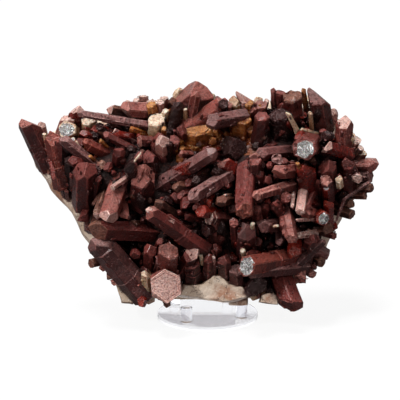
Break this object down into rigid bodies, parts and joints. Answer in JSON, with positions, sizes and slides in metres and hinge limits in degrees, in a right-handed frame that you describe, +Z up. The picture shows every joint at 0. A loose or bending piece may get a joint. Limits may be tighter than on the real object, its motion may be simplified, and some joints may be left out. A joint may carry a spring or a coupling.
{
  "type": "hematoid quartz cluster",
  "caption": "Maroon hematite-stained quartz crystals grown together on a slab of cream vein quartz, resting on a round clear display stand with pegs.",
  "frame": {"origin": "centre of the flat underside of the round stand", "axes": "+Z up, -Y towards the observer that the crystals face, +X to that observer's right"},
  "size_m": [0.2244, 0.1028, 0.1497],
  "materials": {
    "stained_quartz": "satin to glassy natural crystal faces, stained maroon by hematite",
    "clear_acrylic": "clear polished acrylic sheet and rod"
  },
  "bodies": {
    "root": {"crystal_cluster": "stained_quartz", "stand_base": "clear_acrylic", "peg_front_left": "clear_acrylic", "peg_front_right": "clear_acrylic", "peg_back_left": "clear_acrylic", "peg_back_right": "clear_acrylic"}
  },
  "joints": []
}
